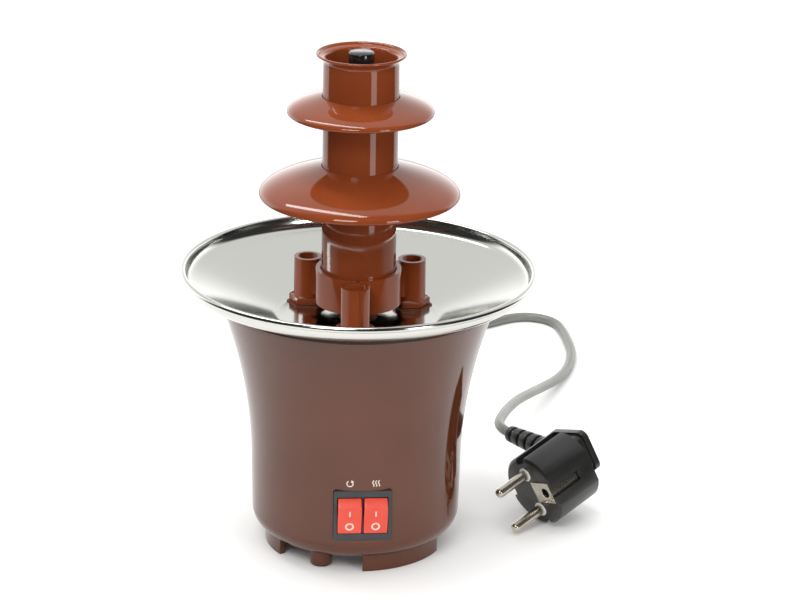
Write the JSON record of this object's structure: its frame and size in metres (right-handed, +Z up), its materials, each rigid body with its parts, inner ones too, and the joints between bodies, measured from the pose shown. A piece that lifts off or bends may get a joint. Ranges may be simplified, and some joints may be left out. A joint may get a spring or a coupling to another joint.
{
  "type": "chocolate fountain",
  "caption": "Table-top chocolate fountain: flared body with a heated steel bowl, a lift-off stacked tower round a motor-driven auger, rocker switches, mains lead and plug.",
  "frame": {"origin": "on the floor under the tower's axis, at the middle of the object's footprint without the lead", "axes": "+Z up along the tower, -Y out of the switches' front, +X to the right seen from the front, where the plug lies"},
  "size_m": [0.2202, 0.392, 0.2371],
  "materials": {
    "housing": "gloss, deep reddish brown",
    "tower": "gloss, reddish brown",
    "rubber": "matt black",
    "steel": "polished stainless",
    "plated": "bright nickel plate",
    "zinc": "bright zinc plate",
    "alloy": "cast, satin",
    "brass": "satin",
    "gear": "natural white, satin",
    "black_plastic": "satin black",
    "switch_grey": "satin dark grey",
    "rocker": "gloss coral red",
    "auger": "gloss black-brown",
    "cord": "soft grey PVC",
    "plug": "satin black PVC",
    "white_plastic": "white",
    "magnet": "dark sintered ferrite",
    "ceramic": "glazed ceramic",
    "armature": "steel stack with copper windings"
  },
  "bodies": {
    "base": {"body_shell": "housing", "bottom_cover": "housing", "foot_pads": "rubber", "cover_screws": "zinc", "motor_deck": "housing", "bowl_seal_ring": "rubber", "bowl": "steel", "tower_post_front": "tower", "tower_post_right": "tower", "tower_post_left": "tower", "post_gaskets": "rubber", "post_studs": "zinc", "post_nuts": "zinc", "spacer_sleeves": "alloy", "heater_plate": "alloy", "heating_element": "zinc", "thermostat": "black_plastic", "thermal_fuse": "ceramic", "shaft_seal": "tower", "idler_pin": "zinc", "gear_case_tub": "gear", "gear_case_lid": "gear", "case_screws": "zinc", "upper_bush": "brass", "lower_bush": "brass", "motor_can": "zinc", "motor_end_cap": "black_plastic", "motor_magnets": "magnet", "switch_frame": "switch_grey", "switch_tabs": "brass", "terminal_block": "white_plastic", "terminal_screws": "brass", "cord_tail": "cord", "cord_gland": "black_plastic", "power_cord": "cord", "plug_body": "plug", "plug_bend_guard": "plug", "plug_pins": "plated", "plug_pin_collars": "white_plastic", "plug_earth_contacts": "plated"},
    "drive": {"drive_shaft": "steel", "output_gear": "gear"},
    "idler": {"idler_gear": "gear"},
    "rotor": {"motor_rotor": "armature", "rotor_pinion": "brass"},
    "auger": {"auger": "auger"},
    "tower_base": {"tower_base": "tower"},
    "lower_tier": {"lower_tier": "tower"},
    "upper_tier": {"upper_tier": "tower"},
    "crown": {"crown": "tower"},
    "motor_rocker": {"motor_rocker": "rocker"},
    "heat_rocker": {"heat_rocker": "rocker"}
  },
  "joints": [
    {"name": "tower_lift", "type": "slide", "parent": "base", "child": "tower_base", "axis": [0, 0, 1], "range_m": [0, 0.125]},
    {"name": "lower_tier_lift", "type": "slide", "parent": "tower_base", "child": "lower_tier", "axis": [0, 0, 1], "range_m": [0, 0.12]},
    {"name": "upper_tier_lift", "type": "slide", "parent": "lower_tier", "child": "upper_tier", "axis": [0, 0, 1], "range_m": [0, 0.06]},
    {"name": "crown_lift", "type": "slide", "parent": "upper_tier", "child": "crown", "axis": [0, 0, 1], "range_m": [0, 0.025]},
    {"name": "auger_spin", "type": "hinge", "parent": "base", "child": "drive", "pos_m": [0, 0, 0.1], "axis": [0, 0, 1], "continuous": true},
    {"name": "auger_lift", "type": "slide", "parent": "drive", "child": "auger", "axis": [0, 0, 1], "range_m": [0, 0.125]},
    {"name": "idler_spin", "type": "hinge", "parent": "base", "child": "idler", "pos_m": [0.00344, 0.0195, 0.08], "axis": [0, 0, 1], "continuous": true},
    {"name": "rotor_spin", "type": "hinge", "parent": "base", "child": "rotor", "pos_m": [-0.01131, 0.00918, 0.06], "axis": [0, 0, 1], "continuous": true},
    {"name": "motor_rocker_press", "type": "hinge", "parent": "base", "child": "motor_rocker", "pos_m": [-0.006, -0.043, 0.031], "axis": [-1, 0, 0], "range_deg": [0, 29]},
    {"name": "heat_rocker_press", "type": "hinge", "parent": "base", "child": "heat_rocker", "pos_m": [0.006, -0.043, 0.031], "axis": [-1, 0, 0], "range_deg": [0, 29]}
  ],
  "couplings": [
    {"joint": "idler_spin", "follows": "auger_spin", "ratio": -4.5},
    {"joint": "rotor_spin", "follows": "auger_spin", "ratio": 22.5}
  ]
}
